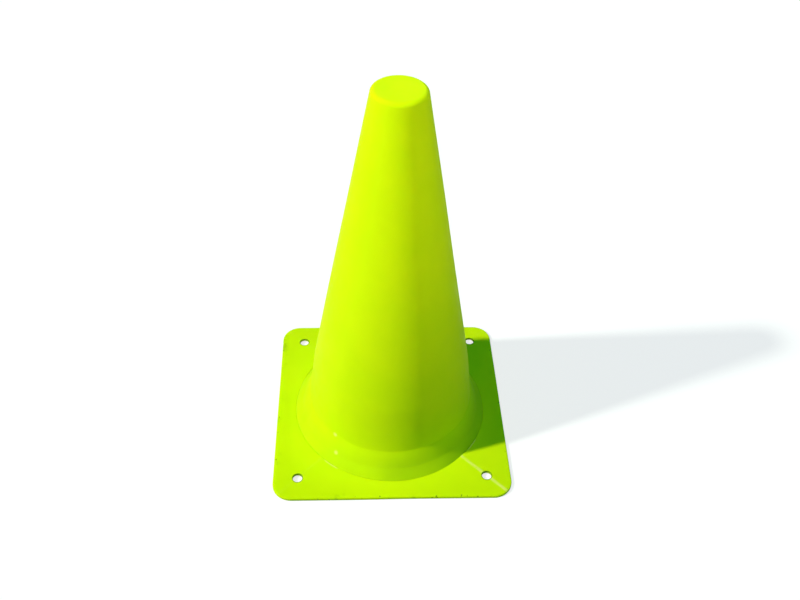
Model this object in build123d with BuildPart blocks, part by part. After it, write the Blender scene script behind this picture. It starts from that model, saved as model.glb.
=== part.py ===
from build123d import *
import math
import os

# Sports marker cone: a hollow tapered body standing through a square base plate.
# Millimetres, +Z up, origin on the ground under the middle of the cone.

# Cone body
cone_height = 300.0  # ground to the top of the crown
crown_radius = 18.4  # where the tapered wall would meet the crown
crown_round = 3.7  # rounding of the crown's edge
collar_radius = 60.65  # top of the steep band below the taper
collar_top = 62.4  # ground to the crease where the taper starts
collar_draft = 6.8  # degrees that the band leans from upright
upper_skirt_rise = 12.5  # height of the upper slope of the skirt below the band
upper_skirt_lean = 26.5  # degrees from upright
lower_skirt_rise = 8.0  # height of the slope from there to the foot
lower_skirt_lean = 37.5  # degrees from upright
wall = 2.0
flange_thickness = 1.2  # thin rim of the foot that the plate sits on

# Base plate
base_margin = 14.85  # foot circle to the middle of a side
base_corner_radius = 15.0
plate_thickness = 1.2  # at the outer edge, above the level of the flange
hip_angle = 2.8  # degrees that each side of the plate rises towards the cone
rim_width = 5.0  # strip around the underside that stands on the ground
edge_round = 0.6  # rounding of the outer edge
hole_diameter = 7.6
hole_inset = 19.0  # plate edge to hole centre

# Clearances where the two pieces meet
seam_gap = 0.1  # between the foot and the plate's round opening
flange_clearance = 2.5  # between the flange and the plate's rim

# Heights and radii that follow from the sizes above
hip_slope = math.tan(math.radians(hip_angle))
plate_edge_height = flange_thickness + plate_thickness
foot_height = plate_edge_height + hip_slope * base_margin
skirt_break_height = foot_height + lower_skirt_rise
collar_bottom = skirt_break_height + upper_skirt_rise
collar_width = (collar_top - collar_bottom) * math.tan(math.radians(collar_draft))
collar_bottom_radius = collar_radius + collar_width
skirt_break_radius = collar_bottom_radius + upper_skirt_rise * math.tan(math.radians(upper_skirt_lean))
foot_radius = skirt_break_radius + lower_skirt_rise * math.tan(math.radians(lower_skirt_lean))
flange_radius = foot_radius + base_margin - rim_width - flange_clearance
base_side = 2 * (foot_radius + base_margin)
plate_peak_height = plate_edge_height + hip_slope * base_side / 2
hole_spacing = base_side - 2 * hole_inset

os.makedirs("parts", exist_ok=True)

# Cone body: a turned shell, open below so that cones nest, with a thin flange round its foot
with BuildPart() as cone_body:
    with BuildSketch(Plane.XZ) as outside:
        with BuildLine():
            Polyline(
                (0, 0),
                (foot_radius, 0),
                (foot_radius, foot_height),
                (skirt_break_radius, skirt_break_height),
                (collar_bottom_radius, collar_bottom),
                (collar_radius, collar_top),
                (crown_radius, cone_height),
                (0, cone_height),
                close=True,
            )
        make_face()
        crown_corner = outside.vertices().group_by(Axis.Y)[-1].sort_by(Axis.X)[-1]
        fillet(crown_corner, crown_round)
    revolve(axis=Axis.Z)
    ground_face = cone_body.faces().sort_by(Axis.Z)[0]
    offset(amount=-wall, openings=ground_face)
    with BuildSketch():
        Circle(flange_radius)
        Circle(foot_radius - wall, mode=Mode.SUBTRACT)
    extrude(amount=flange_thickness)

# Base plate: four gently hipped sides round a central opening, hollow beneath
with BuildPart() as base_plate:
    with BuildSketch():
        RectangleRounded(base_side, base_side, base_corner_radius)
    extrude(amount=plate_peak_height)
    for turn in range(4):
        outward = Vector(1, 0, 0).rotate(Axis.Z, 90 * turn)
        edge_middle = outward * (base_side / 2) + Vector(0, 0, plate_edge_height)
        side_plane = Plane(origin=edge_middle, z_dir=outward * hip_slope + Vector(0, 0, 1))
        split(bisect_by=side_plane, keep=Keep.BOTTOM)
    peak = base_plate.vertices().sort_by(Axis.Z)[-1]
    hip_edges = base_plate.edges().filter_by(lambda edge: peak in edge.vertices())
    ground_edges = base_plate.faces().sort_by(Axis.Z)[0].edges()
    upright_edges = base_plate.edges().filter_by(Axis.Z)
    fillet(base_plate.edges() - hip_edges - ground_edges - upright_edges, edge_round)
    with BuildSketch():
        RectangleRounded(
            base_side - 2 * rim_width,
            base_side - 2 * rim_width,
            base_corner_radius - rim_width,
        )
    extrude(amount=flange_thickness, mode=Mode.SUBTRACT)
    with BuildSketch():
        Circle(foot_radius + seam_gap)
        with GridLocations(hole_spacing, hole_spacing, 2, 2):
            Circle(hole_diameter / 2)
    extrude(amount=plate_peak_height, mode=Mode.SUBTRACT)

cone_body.part.label = "cone_body"
export_step(cone_body.part, "parts/cone_body.step")

base_plate.part.label = "base_plate"
export_step(base_plate.part, "parts/base_plate.step")
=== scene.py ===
import math

import bmesh
import bpy
import numpy as np
from mathutils import Euler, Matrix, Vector


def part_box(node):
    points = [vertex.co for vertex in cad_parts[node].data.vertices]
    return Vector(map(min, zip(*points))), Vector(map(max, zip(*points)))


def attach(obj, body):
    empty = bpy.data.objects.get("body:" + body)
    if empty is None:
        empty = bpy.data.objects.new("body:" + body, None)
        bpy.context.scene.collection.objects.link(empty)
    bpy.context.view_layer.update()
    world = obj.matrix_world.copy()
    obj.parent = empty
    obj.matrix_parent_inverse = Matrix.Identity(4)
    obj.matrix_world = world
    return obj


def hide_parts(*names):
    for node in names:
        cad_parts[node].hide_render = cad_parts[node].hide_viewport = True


# Sports marker cone: a hollow cone body and the square plate it stands through, in lime plastic.
# Metres, +Z up, in the same frame as the solids.

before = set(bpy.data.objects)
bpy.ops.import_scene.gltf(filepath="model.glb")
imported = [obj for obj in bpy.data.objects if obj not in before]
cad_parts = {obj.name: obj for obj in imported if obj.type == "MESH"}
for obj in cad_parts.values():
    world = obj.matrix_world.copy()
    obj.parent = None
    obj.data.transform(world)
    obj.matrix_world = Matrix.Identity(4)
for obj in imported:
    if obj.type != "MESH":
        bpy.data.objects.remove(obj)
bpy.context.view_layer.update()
plate_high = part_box("base_plate")[1]
cone_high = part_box("cone_body")[1]

MM = 0.001

# Cone body
CONE_HEIGHT = cone_high.z
FLANGE_RADIUS = cone_high.x
CROWN_RADIUS = 18.4 * MM  # where the tapered wall would meet the crown
CROWN_ROUND = 3.7 * MM
CROWN_DISH = 0.08 * MM  # how far the middle of the crown has sunk
COLLAR_RADIUS = 60.65 * MM
COLLAR_TOP = 62.4 * MM  # height of the crease between the taper and the band below it
CREASE_ROUND = 7.0 * MM
UPPER_SKIRT_RISE = 12.5 * MM
UPPER_SKIRT_LEAN = 26.5  # degrees from upright
LOWER_SKIRT_RISE = 8.0 * MM
LOWER_SKIRT_LEAN = 37.5  # degrees from upright
SKIRT_ROUND = 5.0 * MM  # rounding where the skirt leaves the band
BREAK_ROUND = 12.0 * MM  # rounding between the skirt's two slopes
WALL = 2.0 * MM
FLANGE_THICKNESS = 1.2 * MM
FOOT_ROUND = 0.05 * MM  # rounding of the foot at the seam
OUT_OF_ROUND = 0.22 * MM  # how far the soft wall strays from a true cone
STRAY_TOP = (0.8, 0.97)  # shares of the cone's height between which the straying ends
STRAY_WAVES = (  # share, waves round the wall, start in radians, twist in radians per metre of height
    (1.0, 2, 0.6, 0),
    (0.45, 3, 0.0, 34),
    (0.3, 5, 0.0, -51),
)

# Base plate
HALF_SIDE = plate_high.x
BASE_MARGIN = 14.85 * MM  # foot circle to the middle of a side
CORNER_RADIUS = 15.0 * MM
EDGE_HEIGHT = 2.4 * MM
HIP_ANGLE = 2.8  # degrees that each side rises towards the cone
HIP_BLEND = 3.0 * MM  # width over which two sides run into each other
HIP_RIDGE = 0.06 * MM  # height of the fine ridge along each hip
HIP_RIDGE_WIDTH = 0.9 * MM
RIM_WIDTH = 5.0 * MM
EDGE_ROUND = 0.6 * MM
UNDER_ROUND = 0.2 * MM
UNDER_GAP = 0.02 * MM  # between the plate and the flange that it sits on
SEAM_GAP = 0.04 * MM
SEAM_ROUND = 0.05 * MM
HOLE_RADIUS = 3.8 * MM
HOLE_INSET = 19.0 * MM
HOLE_CHAMFER = 0.12 * MM
RIM_LIFT = 0.5 * MM  # how far the thin rim lifts off the ground in places
LIFT_MEAN = 0.5  # as a share of that
LIFT_WAVES = ((0.3, 4, 0.7), (0.2, 7, -1.1))  # share, waves round the rim, start in radians
CORNER_LIFT = 0.1  # share of the way from the opening that is added, so that corners lift sooner

# Heights, radii and angles that follow
TAPER = math.degrees(math.atan2(COLLAR_RADIUS - CROWN_RADIUS, CONE_HEIGHT - COLLAR_TOP))
DISH_LOWEST = CONE_HEIGHT - 1.5 * WALL  # the dish moves what lies above this, both faces of the crown
HIP_SLOPE = math.tan(math.radians(HIP_ANGLE))
HOLE_PLACE = HALF_SIDE - HOLE_INSET
FOOT_RADIUS = HALF_SIDE - BASE_MARGIN
FOOT_HEIGHT = EDGE_HEIGHT + HIP_SLOPE * BASE_MARGIN
OPENING_RADIUS = FOOT_RADIUS + SEAM_GAP
BREAK_RADIUS = FOOT_RADIUS - LOWER_SKIRT_RISE * math.tan(math.radians(LOWER_SKIRT_LEAN))
BREAK_HEIGHT = FOOT_HEIGHT + LOWER_SKIRT_RISE
COLLAR_BOTTOM_RADIUS = BREAK_RADIUS - UPPER_SKIRT_RISE * math.tan(math.radians(UPPER_SKIRT_LEAN))
COLLAR_BOTTOM = BREAK_HEIGHT + UPPER_SKIRT_RISE
COLLAR_WIDENING = COLLAR_BOTTOM_RADIUS - COLLAR_RADIUS
COLLAR_DRAFT = math.degrees(math.atan2(COLLAR_WIDENING, COLLAR_TOP - COLLAR_BOTTOM))

# Plastic
LIME = (0.74, 0.96, 0.003, 1)
LIME_DEEP = (0.66, 0.91, 0.002, 1)
PLATE_LIME = (0.76, 0.97, 0.003, 1)
PLATE_LIME_DEEP = (0.68, 0.92, 0.002, 1)
REFRACTION = 1.5
SATIN = 0.04  # strength of the reflections
SATIN_TINT = (0.9, 1.0, 0.15, 1)
GLOW_WEIGHT = 0.5  # share of the light that wanders through the thin wall
GLOW_REACH = 2.5 * MM
GLOW_SHARES = (0.8, 1.0, 0.02)  # shares of that reach for red, green and blue light
WAVE_DEPTH = 1.0 * MM  # shallow waves of the moulded surface
GRAIN_DEPTH = 0.05 * MM
GRAIN_STRENGTH = 0.25
GRAIN_SCALE = 1600  # grains in a metre

# Wear and dirt, with painted shade and painted highlights
PALE = (0.86, 1.0, 0.10, 1)  # rubbed plastic
WHITENING_AND_GLINT = (0.95, 1.0, 0.16, 1)  # plastic whitened along the bent hips, and painted highlights at glints
# dark olive: dirt, painted shade on the skirt and round the holes, and dark marks at the plate's edge
DIRT_AND_SHADE = (0.17, 0.27, 0.008, 1)
STREAK_SCALE = (70, 70, 7)  # flow streaks in a metre, along each axis
RUB_SCALE = (90, 90, 420)  # rubbed marks in a metre, along each axis
RUB_HEIGHTS = (12 * MM, 70 * MM)  # where the rubbing is strongest and weakest
SKIRT_DARKENING_FADE = 2 * MM  # how far the fading of the skirt's dust and painted shade runs past its upper slope
GLINT_SPOTS = (Vector((-43.5, -55.5, 11.5)) * MM, Vector((-44.0, -47.5, 24.0)) * MM)  # painted highlights: pale glint spots low on the front left
GLINT_RADIUS = 2.6 * MM
GLINT_CORE = 0.3 * GLINT_RADIUS  # the palest part of a spot
HIP_LINE = (0.4 * MM, 2.8 * MM)  # difference of |x| and |y| over which the pale line on a hip fades
FRONT_RIGHT_HIGHLIGHT = (90 * MM, 110 * MM)  # x - y over which the painted highlight on the front right hip comes in
SMUDGE_WIDTH = 7 * MM  # strip along the plate's edge
SPECK_STRIP = (2.5 * MM, 1 * MM)  # distances from the edge where the specks start and are all there
HOLE_SHADE = (0.2 * MM, 0.8 * MM)  # painted shade: distances from a hole over which its dark rim fades
HOLE_SHADE_DEPTH = 0.4 * MM  # below and above the edge's height, where the rim darkens upwards
SEAM_GLINT_PLACES = (-34, -128)  # directions in degrees of painted highlights on the seam
SEAM_GLINT_LENGTH = (math.radians(3), math.radians(6))  # angles from there over which a highlight fades
SEAM_GLINT_WIDTH = (0.4 * MM, 1.3 * MM)  # distances from the seam over which it fades

# Lamps and sky
KEY_AZIMUTH = 192.3  # degrees from +X, where the light comes from
KEY_HEIGHT = 40  # degrees above the ground
KEY_LEVEL = 0.96  # at a lamp's level of 1, a white face that is turned to it is lit up to white
KEY_SOFTNESS = 3  # degrees across
KEY_COLOUR = (0.96, 1.0, 0.88)
FRONT_PLACE = Vector((-0.16, -0.61, 0.42))
FRONT_LEVEL = 0.30
FRONT_SPREAD = 44  # degrees
FRONT_COLOUR = (1.0, 0.8, 0.6)
SIDE_PLACE = Vector((0.52, -0.32, 0.28))
SIDE_LEVEL = 0.27
SIDE_SPREAD = 52  # degrees
SIDE_COLOUR = (1.0, 0.85, 0.6)
TOP_PLACE = Vector((0.0, 0.06, 1.0))
TOP_LEVEL = 0.27
TOP_SPREAD = 9  # degrees
TOP_COLOUR = (1.0, 1.0, 0.9)
TOP_RADIUS = 0.03
SPOT_TARGET = Vector((0.0, 0.0, 0.27))
SPOT_RADIUS = 0.12  # of the front and side lamps
SKY = (0.16, 0.8, 1.0, 1)
SKY_LEVEL = 0.30

# Floor and camera
FLOOR_HALF = 40.0
FLOOR_DROP = 0.02 * MM  # below the ground plane, clear of the pieces
FLOOR_GREY = 0.35
FLOOR_GLOW = 0.78
FLOOR_GLOW_COLOUR = (1.0, 0.97, 0.96, 1)
CAMERA_PLACE = Vector((-0.02758, -0.50655, 0.59150))
CAMERA_TARGET = Vector((0.00518, 0.0, 0.12195))
CAMERA_ROLL = 2.23  # degrees
CAMERA_LENS = 41.634  # millimetres
CAMERA_SENSOR = 36  # millimetres


# Shapes

def arc(middle, radius, start, end, steps):
    """Points of an arc in the (radius, height) plane, from angle start to angle end in degrees."""
    turns = np.radians(np.linspace(start, end, steps + 1))
    return [(middle[0] + radius * math.cos(t), middle[1] + radius * math.sin(t)) for t in turns]


def run(start, end, steps):
    """Points between two profile points, without the two themselves."""
    shares = np.linspace(0, 1, steps + 1)[1:-1]
    return [(start[0] + s * (end[0] - start[0]), start[1] + s * (end[1] - start[1])) for s in shares]


def bend(corner, above, below, radius, inset, steps):
    """A rounded corner between two walls, moved inwards by inset.

    above and below are the degrees by which the outward normals of the two walls rise.
    """
    hollow = above < below
    side = 1 if hollow else -1
    bisector = math.radians((above + below) / 2)
    reach = side * radius / math.cos(math.radians((above - below) / 2))
    middle = corner[0] + reach * math.cos(bisector), corner[1] + reach * math.sin(bisector)
    turned = 180 if hollow else 0
    return arc(middle, radius + side * inset, turned + above, turned + below, steps)


def shell_line(inset, end_radius):
    """Profile of the shell from the crown's middle to the end of the skirt, moved inwards by inset."""
    crown_edge = (CROWN_RADIUS, CONE_HEIGHT)
    crease_edge = (COLLAR_RADIUS, COLLAR_TOP)
    skirt_top = (COLLAR_BOTTOM_RADIUS, COLLAR_BOTTOM)
    skirt_break = (BREAK_RADIUS, BREAK_HEIGHT)
    crown = bend(crown_edge, 90, TAPER, CROWN_ROUND, inset, steps=14)
    crease = bend(crease_edge, TAPER, COLLAR_DRAFT, CREASE_ROUND, inset, steps=6)
    upper = bend(skirt_top, COLLAR_DRAFT, UPPER_SKIRT_LEAN, SKIRT_ROUND, inset, steps=8)
    lower = bend(skirt_break, UPPER_SKIRT_LEAN, LOWER_SKIRT_LEAN, BREAK_ROUND, inset, steps=8)
    fall = (end_radius - lower[-1][0]) / math.tan(math.radians(LOWER_SKIRT_LEAN))
    foot = (end_radius, lower[-1][1] - fall)
    line = run((0, crown[0][1]), crown[0], steps=9) + crown
    line += run(crown[-1], crease[0], steps=72) + crease
    line += run(crease[-1], upper[0], steps=14) + upper
    line += run(upper[-1], lower[0], steps=6) + lower
    line += run(lower[-1], foot, steps=4) + [foot]
    return line


def cone_profile():
    """Closed profile of the cone body, from the crown's middle outside to its middle inside."""
    rim = FLANGE_THICKNESS / 2
    line = shell_line(0, FOOT_RADIUS - FOOT_ROUND)
    line += [(FOOT_RADIUS, FOOT_HEIGHT - FOOT_ROUND), (FOOT_RADIUS, FLANGE_THICKNESS)]
    line += run((FOOT_RADIUS, FLANGE_THICKNESS), (FLANGE_RADIUS - rim, FLANGE_THICKNESS), steps=4)
    line += arc((FLANGE_RADIUS - rim, rim), rim, start=90, end=-90, steps=8)
    line += run((FLANGE_RADIUS - rim, 0), (FOOT_RADIUS - WALL, 0), steps=5)
    line += [(FOOT_RADIUS - WALL, 0)]
    line += shell_line(WALL, FOOT_RADIUS - WALL)[::-1]
    return line


def smooth_step(low, high, value):
    """0 up to low, 1 from high on, and a smooth rise between them."""
    share = np.clip((value - low) / (high - low), 0, 1)
    return share * share * (3 - 2 * share)


def wall_stray(angle, height):
    """How far the soft wall strays outwards at an angle and a height."""
    above_skirt = smooth_step(COLLAR_BOTTOM, COLLAR_TOP, height)
    below_crown = 1 - smooth_step(*STRAY_TOP, height / CONE_HEIGHT)
    wave = 0
    shares = 0
    for share, count, start, twist in STRAY_WAVES:
        wave = wave + share * np.sin(count * angle + start + twist * height)
        shares = shares + share
    return OUT_OF_ROUND * (above_skirt * below_crown) * wave / shares


def circle_ring(middle, reach, height, angles):
    """Points round a middle at a height, at one reach or at one for each angle."""
    x = middle[0] + reach * np.cos(angles)
    y = middle[1] + reach * np.sin(angles)
    return np.stack([x, y, np.full(len(angles), height)], axis=1)


def skin(name, rings, closed):
    """A mesh through rings of equally many points. closed joins the last ring to the first."""
    count = len(rings[0])
    steps = [(i, (i + 1) % count) for i in range(count)]
    points = np.concatenate(rings).tolist()
    faces = []
    for ring in range(len(rings) if closed else len(rings) - 1):
        first = ring * count
        second = (ring + 1) % len(rings) * count
        faces += [(first + i, first + j, second + j, second + i) for i, j in steps]
    if not closed:
        for ring in (0, len(rings) - 1):
            middle = len(points)
            points.append(np.mean(rings[ring], axis=0).tolist())
            faces += [(middle, ring * count + j, ring * count + i) for i, j in steps]
    mesh = bpy.data.meshes.new(name)
    mesh.from_pydata(points, [], faces)
    shape = bmesh.new()
    shape.from_mesh(mesh)
    bmesh.ops.recalc_face_normals(shape, faces=shape.faces)
    shape.to_mesh(mesh)
    shape.free()
    made = bpy.data.objects.new(name, mesh)
    bpy.context.scene.collection.objects.link(made)
    return made


def shade(piece, sharp_angle):
    """Smooth shading, with edges sharper than an angle in degrees left sharp."""
    piece.data.shade_smooth()
    piece.data.set_sharp_from_angle(angle=math.radians(sharp_angle))


def make_cone_body(segments=256):
    angles = np.linspace(0, 2 * math.pi, segments, endpoint=False)
    crown_flat = CROWN_RADIUS - CROWN_ROUND
    rings = []
    for radius, height in cone_profile():
        dish = CROWN_DISH * (1 - min(radius / crown_flat, 1) ** 2) if height > DISH_LOWEST else 0
        stray = wall_stray(angles, height) if radius > CROWN_RADIUS else 0
        rings.append(circle_ring((0, 0), radius + stray, height - dish, angles))
    body = skin("cone_body_moulding", rings, closed=False)
    shade(body, sharp_angle=40)
    return body


def outline_angles(straight_steps=34, corner_steps=24):
    """Directions from the middle to points all along the plate's outline."""
    straight = HALF_SIDE - CORNER_RADIUS
    side = np.arctan2(np.linspace(0, straight, straight_steps + 1)[:-1], HALF_SIDE)
    turn = np.linspace(0, math.pi / 2, corner_steps + 1)
    corner_x = straight + CORNER_RADIUS * np.cos(turn)
    corner_y = straight + CORNER_RADIUS * np.sin(turn)
    corner = np.arctan2(corner_y, corner_x)
    quarter = np.concatenate([side, corner, math.pi / 2 - side[:0:-1]])
    return np.concatenate([quarter + k * math.pi / 2 for k in range(4)])


def outline_reach(angles, inset):
    """Distance from the middle to the plate's outline, moved inwards by inset."""
    along = np.maximum(np.abs(np.cos(angles)), np.abs(np.sin(angles)))
    across = np.minimum(np.abs(np.cos(angles)), np.abs(np.sin(angles)))
    half = HALF_SIDE - inset
    radius = CORNER_RADIUS - inset
    straight = HALF_SIDE - CORNER_RADIUS
    on_side = half / along
    middle = straight * (along + across)
    on_corner = middle + np.sqrt(np.maximum(middle**2 - 2 * straight**2 + radius**2, 0))
    return np.where(across * on_side <= straight, on_side, on_corner)


def plate_top(x, y):
    """Height of the plate's upper face: four sides that rise to the cone and meet on the diagonals."""
    far = np.maximum(np.abs(x), np.abs(y))
    apart = np.abs(np.abs(x) - np.abs(y))
    far = far + np.maximum(HIP_BLEND - apart, 0) ** 2 / (4 * HIP_BLEND)
    ridge = HIP_RIDGE * np.exp(-((apart / math.sqrt(2) / HIP_RIDGE_WIDTH) ** 2))
    return EDGE_HEIGHT + HIP_SLOPE * (HALF_SIDE - far) + ridge


def rim_lift(x, y):
    """How far the thin plate lifts off the ground: not at the opening, most along parts of the rim."""
    angle = np.arctan2(y, x)
    far = np.maximum(np.abs(x), np.abs(y))
    far = far + CORNER_LIFT * (np.hypot(x, y) - OPENING_RADIUS)
    wave = LIFT_MEAN
    for share, count, start in LIFT_WAVES:
        wave = wave + share * np.sin(count * angle + start)
    return RIM_LIFT * smooth_step(OPENING_RADIUS, HALF_SIDE, far) * wave


def quarter_turn(steps):
    """Angles of a rounded edge, in radians."""
    return np.radians(np.linspace(0, 90, steps + 1))


def make_plate_blank(top_steps=26, rim_shares=(0.5, 1), pocket_shares=(0, 0.35, 0.7)):
    """The plate without its corner holes: one closed ring of sections round the opening."""
    angles = outline_angles()
    inner = np.full(len(angles), OPENING_RADIUS)
    pocket = outline_reach(angles, RIM_WIDTH)
    under = FLANGE_THICKNESS + UNDER_GAP
    rings = []

    def ring(reach, drop=None, height=None):
        """Adds a ring at a drop below the upper face, or else at a height."""
        x, y = reach * np.cos(angles), reach * np.sin(angles)
        level = plate_top(x, y) - drop if height is None else np.full(len(angles), height)
        rings.append(np.stack([x, y, level + rim_lift(x, y)], axis=1))

    ring(inner, height=under)
    ring(inner, drop=2 * SEAM_ROUND)
    for turn in quarter_turn(steps=5):
        ring(inner + SEAM_ROUND * (1 - math.cos(turn)), drop=SEAM_ROUND * (1 - math.sin(turn)))
    top_inner = inner + SEAM_ROUND
    top_outer = outline_reach(angles, EDGE_ROUND)
    for share in np.linspace(0, 1, top_steps + 1)[1:-1]:
        ring(top_inner + share * (top_outer - top_inner), drop=0)
    for turn in quarter_turn(steps=6):
        edge = outline_reach(angles, EDGE_ROUND * (1 - math.sin(turn)))
        ring(edge, drop=EDGE_ROUND * (1 - math.cos(turn)))
    for turn in quarter_turn(steps=3):
        edge = outline_reach(angles, UNDER_ROUND * (1 - math.cos(turn)))
        ring(edge, height=UNDER_ROUND * (1 - math.sin(turn)))
    for share in rim_shares:
        ring(outline_reach(angles, RIM_WIDTH * share), height=0)
    for share in pocket_shares:
        ring(pocket + share * (inner - pocket), height=under)
    return skin("base_plate_moulding", rings, closed=True)


def make_hole_cutter(x, y, segments=48):
    """A peg that widens at 45 degrees through the plate's upper face, to cut a chamfered hole."""
    top = plate_top(x, y) + rim_lift(x, y)
    angles = np.linspace(0, 2 * math.pi, segments, endpoint=False)
    profile = (
        (HOLE_RADIUS, -EDGE_HEIGHT),
        (HOLE_RADIUS, top - HOLE_CHAMFER),
        (HOLE_RADIUS + 3 * HOLE_CHAMFER, top + 2 * HOLE_CHAMFER),
    )
    rings = [circle_ring((x, y), reach, height, angles) for reach, height in profile]
    return skin("hole_cutter", rings, closed=False)


def make_base_plate():
    plate = make_plate_blank()
    cutters = []
    for side in (-1, 1):
        for end in (-1, 1):
            cutter = make_hole_cutter(side * HOLE_PLACE, end * HOLE_PLACE)
            cut = plate.modifiers.new("hole", "BOOLEAN")
            cut.operation = "DIFFERENCE"
            cut.solver = "EXACT"
            cut.object = cutter
            cutters.append(cutter)
    bpy.context.view_layer.update()
    settled = plate.evaluated_get(bpy.context.evaluated_depsgraph_get())
    cut_mesh = bpy.data.meshes.new_from_object(settled)
    plate.modifiers.clear()
    plate.data = cut_mesh
    for cutter in cutters:
        bpy.data.objects.remove(cutter)
    shade(plate, sharp_angle=32)
    return plate


# Materials

class Nodes:
    """Short calls for the nodes of one material."""

    def __init__(self, name):
        self.material = bpy.data.materials.new(name)
        self.material.use_nodes = True
        self.tree = self.material.node_tree
        self.tree.nodes.clear()
        self.place = self.add("ShaderNodeTexCoord").outputs["Object"]
        axes = self.add("ShaderNodeSeparateXYZ")
        self.put(axes.inputs[0], self.place)
        self.x, self.y, self.z = axes.outputs

    def add(self, kind):
        return self.tree.nodes.new(kind)

    def put(self, socket, value):
        if isinstance(value, bpy.types.NodeSocket):
            self.tree.links.new(value, socket)
        else:
            socket.default_value = value

    def maths(self, operation, first, second=0.0):
        node = self.add("ShaderNodeMath")
        node.operation = operation
        self.put(node.inputs[0], first)
        self.put(node.inputs[1], second)
        return node.outputs[0]

    def times(self, first, second):
        return self.maths("MULTIPLY", first, second)

    def minus(self, first, second):
        return self.maths("SUBTRACT", first, second)

    def size(self, value):
        return self.maths("ABSOLUTE", value)

    def distance(self, first, second):
        squares = [self.times(side, side) for side in (first, second)]
        return self.maths("SQRT", self.maths("ADD", *squares))

    def distance_to(self, point):
        node = self.add("ShaderNodeVectorMath")
        node.operation = "DISTANCE"
        self.put(node.inputs[0], self.place)
        self.put(node.inputs[1], point)
        return node.outputs["Value"]

    def stretched(self, scale):
        node = self.add("ShaderNodeMapping")
        self.put(node.inputs["Vector"], self.place)
        node.inputs["Scale"].default_value = scale
        return node.outputs[0]

    def noise(self, scale, detail=2.0, roughness=0.5, place=None):
        """Noise of about scale cells in a metre, or in a unit of place."""
        node = self.add("ShaderNodeTexNoise")
        self.put(node.inputs["Vector"], place or self.place)
        node.inputs["Scale"].default_value = scale
        node.inputs["Detail"].default_value = detail
        node.inputs["Roughness"].default_value = roughness
        return node.outputs["Fac"]

    def between(self, value, low, high, start=0.0, end=1.0):
        """A soft step from start to end as value goes from low to high."""
        node = self.add("ShaderNodeMapRange")
        node.interpolation_type = "SMOOTHSTEP"
        self.put(node.inputs["Value"], value)
        node.inputs["From Min"].default_value = low
        node.inputs["From Max"].default_value = high
        node.inputs["To Min"].default_value = start
        node.inputs["To Max"].default_value = end
        return node.outputs[0]

    def fading(self, value, low, high, start=1.0):
        """A soft step from start to nothing as value goes from low to high."""
        return self.between(value, low, high, start=start, end=0.0)

    def mix(self, share, first, second):
        node = self.add("ShaderNodeMix")
        node.data_type = "RGBA"
        inputs = [socket for socket in node.inputs if socket.type == "RGBA"]
        outputs = [socket for socket in node.outputs if socket.type == "RGBA"]
        self.put(node.inputs["Factor"], share)
        self.put(inputs[0], first)
        self.put(inputs[1], second)
        return outputs[0]

    def bump(self, height, distance, strength, below=None):
        node = self.add("ShaderNodeBump")
        node.inputs["Distance"].default_value = distance
        node.inputs["Strength"].default_value = strength
        self.put(node.inputs["Height"], height)
        if below is not None:
            self.put(node.inputs["Normal"], below)
        return node.outputs[0]

    def relief(self, wave_scale, wave_strength):
        """Shallow waves of a moulded surface, with a fine grain over them."""
        waves = self.bump(self.noise(wave_scale), WAVE_DEPTH, wave_strength)
        return self.bump(self.noise(GRAIN_SCALE), GRAIN_DEPTH, GRAIN_STRENGTH, below=waves)

    def plastic(self, colour, roughness, normal):
        """Thin lime plastic that lets a little light through."""
        shader = self.add("ShaderNodeBsdfPrincipled")
        output = self.add("ShaderNodeOutputMaterial")
        self.put(shader.inputs["Base Color"], colour)
        self.put(shader.inputs["Roughness"], roughness)
        self.put(shader.inputs["Normal"], normal)
        shader.inputs["IOR"].default_value = REFRACTION
        shader.inputs["Specular IOR Level"].default_value = SATIN
        shader.inputs["Specular Tint"].default_value = SATIN_TINT
        shader.inputs["Subsurface Weight"].default_value = GLOW_WEIGHT
        shader.inputs["Subsurface Radius"].default_value = GLOW_SHARES
        shader.inputs["Subsurface Scale"].default_value = GLOW_REACH
        self.tree.links.new(shader.outputs[0], output.inputs["Surface"])
        return self.material


def cone_plastic():
    n = Nodes("cone_plastic_lime")
    mottle = n.between(n.noise(scale=24, detail=3), low=0.35, high=0.7, end=0.55)
    colour = n.mix(mottle, LIME, LIME_DEEP)
    flow = n.noise(scale=1, detail=3, place=n.stretched(STREAK_SCALE))
    colour = n.mix(n.between(flow, low=0.45, high=0.75, end=0.3), colour, LIME_DEEP)
    # wear and dirt on the cone, with painted shade on the skirt and painted highlights
    for marking in (rubbed_wall, dust_and_painted_shade_on_skirt, painted_glint_spots):
        colour = marking(n, colour)
    gloss = n.noise(scale=130, detail=4, roughness=0.6)
    roughness = n.between(gloss, low=0.3, high=0.7, start=0.50, end=0.62)
    return n.plastic(colour, roughness, n.relief(wave_scale=38, wave_strength=0.12))


def rubbed_wall(n, colour):
    """Fine pale marks all round, stronger low down."""
    rubbing = n.noise(scale=1, detail=5, roughness=0.65, place=n.stretched(RUB_SCALE))
    marks = n.between(rubbing, low=0.66, high=0.74)
    low_down = n.between(n.z, *RUB_HEIGHTS, start=0.3, end=0.08)
    return n.mix(n.times(marks, low_down), colour, PALE)


def dust_and_painted_shade_on_skirt(n, colour):
    """Dust and painted shade on the skirt, thinning out up its upper slope."""
    dust_and_shade = n.between(n.noise(scale=22, detail=3), low=0.3, high=0.7, start=0.14, end=0.26)
    on_skirt = n.fading(n.z, BREAK_HEIGHT - SKIRT_DARKENING_FADE, COLLAR_BOTTOM + SKIRT_DARKENING_FADE)
    return n.mix(n.times(on_skirt, dust_and_shade), colour, DIRT_AND_SHADE)


def painted_glint_spots(n, colour):
    """Painted highlights: pale glint spots low down on the front left."""
    for spot in GLINT_SPOTS:
        glint_share = n.fading(n.distance_to(spot), GLINT_CORE, GLINT_RADIUS, start=0.8)
        colour = n.mix(glint_share, colour, WHITENING_AND_GLINT)
    return colour


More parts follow.
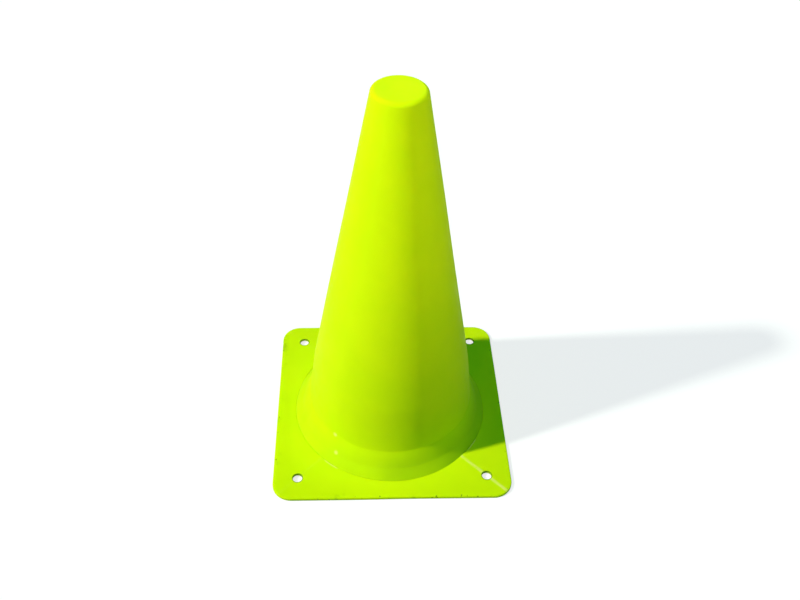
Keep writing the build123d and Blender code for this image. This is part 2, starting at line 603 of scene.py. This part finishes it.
def plate_plastic():
    n = Nodes("base_plastic_lime")
    mottle = n.between(n.noise(scale=30, detail=3), low=0.35, high=0.7, end=0.4)
    colour = n.mix(mottle, PLATE_LIME, PLATE_LIME_DEEP)
    # whitening and edge marks, with painted shade round the holes and painted highlights on a hip and
    # the seam
    for marking in (hip_whitening_and_highlight, edge_darkening, painted_hole_shade, painted_seam_glints):
        colour = marking(n, colour)
    gloss = n.noise(scale=150, detail=4, roughness=0.6)
    roughness = n.between(gloss, low=0.3, high=0.7, start=0.50, end=0.64)
    return n.plastic(colour, roughness, n.relief(wave_scale=42, wave_strength=0.15))


def hip_whitening_and_highlight(n, colour):
    """Pale lines along the hips: faint whitening from bending on all, and a painted highlight along the
    front right one.
    """
    hip = n.fading(n.size(n.minus(n.size(n.x), n.size(n.y))), *HIP_LINE)
    highlight_share = n.between(n.minus(n.x, n.y), *FRONT_RIGHT_HIGHLIGHT, start=0.05)
    broken = n.between(n.noise(scale=90), low=0.35, high=0.6, start=0.45, end=0.95)
    return n.mix(n.times(n.times(hip, highlight_share), broken), colour, WHITENING_AND_GLINT)


def edge_darkening(n, colour):
    """Dark smudges along the plate's edge, and fine dark specks right at it."""
    far = n.maths("MAXIMUM", n.size(n.x), n.size(n.y))
    at_edge = n.between(far, HALF_SIDE - SMUDGE_WIDTH, HALF_SIDE)
    smudge = n.between(n.noise(scale=48, detail=4, roughness=0.6), low=0.55, high=0.72, end=0.45)
    colour = n.mix(n.times(at_edge, smudge), colour, DIRT_AND_SHADE)
    speck_start, speck_full = SPECK_STRIP
    near_edge = n.between(far, HALF_SIDE - speck_start, HALF_SIDE - speck_full)
    speck = n.between(n.noise(scale=260, detail=3, roughness=0.6), low=0.62, high=0.68, end=0.8)
    return n.mix(n.times(near_edge, speck), colour, DIRT_AND_SHADE)


def painted_hole_shade(n, colour):
    """Painted shade: a dark rim round each corner hole, weaker down inside it."""
    past_wide = n.minus(n.size(n.x), HOLE_PLACE)
    past_deep = n.minus(n.size(n.y), HOLE_PLACE)
    near, far = HOLE_SHADE
    rim = n.fading(n.distance(past_wide, past_deep), HOLE_RADIUS + near, HOLE_RADIUS + far, start=0.95)
    upper = n.between(n.z, EDGE_HEIGHT - HOLE_SHADE_DEPTH, EDGE_HEIGHT + HOLE_SHADE_DEPTH, start=0.3)
    return n.mix(n.times(rim, upper), colour, DIRT_AND_SHADE)


def painted_seam_glints(n, colour):
    """Painted highlights: pale stretches of the seam round the cone's foot."""
    at_seam = n.fading(n.size(n.minus(n.distance(n.x, n.y), OPENING_RADIUS)), *SEAM_GLINT_WIDTH)
    turn = n.maths("ARCTAN2", n.y, n.x)
    for middle in SEAM_GLINT_PLACES:
        glint = n.fading(n.size(n.minus(turn, math.radians(middle))), *SEAM_GLINT_LENGTH, start=0.9)
        colour = n.mix(n.times(at_seam, glint), colour, WHITENING_AND_GLINT)
    return colour


# Studio

def make_sun(name, azimuth, height, level, softness, colour):
    lamp = bpy.data.lights.new(name, "SUN")
    lamp.energy = level * math.pi
    lamp.angle = math.radians(softness)
    lamp.color = colour
    sun = bpy.data.objects.new(name, lamp)
    sun.rotation_euler = Euler((math.radians(90 - height), 0, math.radians(azimuth + 90)))
    bpy.context.scene.collection.objects.link(sun)


def make_spot(name, place, level, spread, colour, radius):
    """A soft-edged spot on the upper cone, with its level taken at its target."""
    lamp = bpy.data.lights.new(name, "SPOT")
    away = SPOT_TARGET - place
    lamp.energy = level * math.pi * 4 * math.pi * away.length_squared
    lamp.spot_size = math.radians(spread)
    lamp.spot_blend = 1
    lamp.shadow_soft_size = radius
    lamp.color = colour
    spot = bpy.data.objects.new(name, lamp)
    spot.location = place
    spot.rotation_euler = away.to_track_quat("-Z", "Y").to_euler()
    bpy.context.scene.collection.objects.link(spot)


def shown_share(tree):
    """1 for rays from the camera, in reflections and through clear things, and 0 for the rest."""
    path = tree.nodes.new("ShaderNodeLightPath")
    share = path.outputs["Is Camera Ray"]
    for kind in ("Is Glossy Ray", "Is Transmission Ray"):
        either = tree.nodes.new("ShaderNodeMath")
        either.operation = "MAXIMUM"
        tree.links.new(share, either.inputs[0])
        tree.links.new(path.outputs[kind], either.inputs[1])
        share = either.outputs[0]
    return share


def make_world():
    """A sky that lights the cone, and a white background where it is seen."""
    world = bpy.data.worlds.new("studio")
    bpy.context.scene.world = world
    world.use_nodes = True
    tree = world.node_tree
    tree.nodes.clear()
    output = tree.nodes.new("ShaderNodeOutputWorld")
    sky = tree.nodes.new("ShaderNodeBackground")
    sky.inputs["Color"].default_value = SKY
    sky.inputs["Strength"].default_value = SKY_LEVEL
    white = tree.nodes.new("ShaderNodeBackground")
    white.inputs["Color"].default_value = (1, 1, 1, 1)
    white.inputs["Strength"].default_value = 1
    mix = tree.nodes.new("ShaderNodeMixShader")
    tree.links.new(shown_share(tree), mix.inputs["Fac"])
    tree.links.new(sky.outputs[0], mix.inputs[1])
    tree.links.new(white.outputs[0], mix.inputs[2])
    tree.links.new(mix.outputs[0], output.inputs["Surface"])


def floor_white():
    """A matt grey that takes the shadow, with a glow added where it is seen."""
    material = bpy.data.materials.new("floor_white")
    material.use_nodes = True
    tree = material.node_tree
    tree.nodes.clear()
    output = tree.nodes.new("ShaderNodeOutputMaterial")
    matt = tree.nodes.new("ShaderNodeBsdfDiffuse")
    matt.inputs["Color"].default_value = (FLOOR_GREY, FLOOR_GREY, FLOOR_GREY, 1)
    glow = tree.nodes.new("ShaderNodeEmission")
    glow.inputs["Color"].default_value = FLOOR_GLOW_COLOUR
    strength = tree.nodes.new("ShaderNodeMath")
    strength.operation = "MULTIPLY"
    tree.links.new(shown_share(tree), strength.inputs[0])
    strength.inputs[1].default_value = FLOOR_GLOW
    tree.links.new(strength.outputs[0], glow.inputs["Strength"])
    both = tree.nodes.new("ShaderNodeAddShader")
    tree.links.new(matt.outputs[0], both.inputs[0])
    tree.links.new(glow.outputs[0], both.inputs[1])
    tree.links.new(both.outputs[0], output.inputs["Surface"])
    return material


def make_floor():
    mesh = bpy.data.meshes.new("floor")
    sides = ((-1, -1), (1, -1), (1, 1), (-1, 1))
    corners = [(x * FLOOR_HALF, y * FLOOR_HALF, -FLOOR_DROP) for x, y in sides]
    mesh.from_pydata(corners, [], [(0, 1, 2, 3)])
    mesh.materials.append(floor_white())
    floor = bpy.data.objects.new("floor", mesh)
    bpy.context.scene.collection.objects.link(floor)


def make_camera():
    lens = bpy.data.cameras.new("camera")
    lens.sensor_width = CAMERA_SENSOR
    lens.lens = CAMERA_LENS
    camera = bpy.data.objects.new("camera", lens)
    look = (CAMERA_TARGET - CAMERA_PLACE).to_track_quat("-Z", "Y")
    roll = Euler((0, 0, math.radians(CAMERA_ROLL))).to_quaternion()
    camera.rotation_euler = (look @ roll).to_euler()
    camera.location = CAMERA_PLACE
    bpy.context.scene.collection.objects.link(camera)
    bpy.context.scene.camera = camera


def place_piece(piece, node, material):
    """Gives a piece its material and slot, and lets it replace its solid."""
    piece.data.materials.clear()
    piece.data.materials.append(material)
    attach(piece, "root")
    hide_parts(node)


place_piece(make_cone_body(), "cone_body", cone_plastic())
place_piece(make_base_plate(), "base_plate", plate_plastic())

make_sun("key", KEY_AZIMUTH, KEY_HEIGHT, KEY_LEVEL, KEY_SOFTNESS, KEY_COLOUR)
make_spot("front", FRONT_PLACE, FRONT_LEVEL, FRONT_SPREAD, FRONT_COLOUR, SPOT_RADIUS)
make_spot("side", SIDE_PLACE, SIDE_LEVEL, SIDE_SPREAD, SIDE_COLOUR, SPOT_RADIUS)
make_spot("top", TOP_PLACE, TOP_LEVEL, TOP_SPREAD, TOP_COLOUR, TOP_RADIUS)
make_world()
make_floor()
make_camera()
bpy.context.scene.view_settings.view_transform = "Standard"
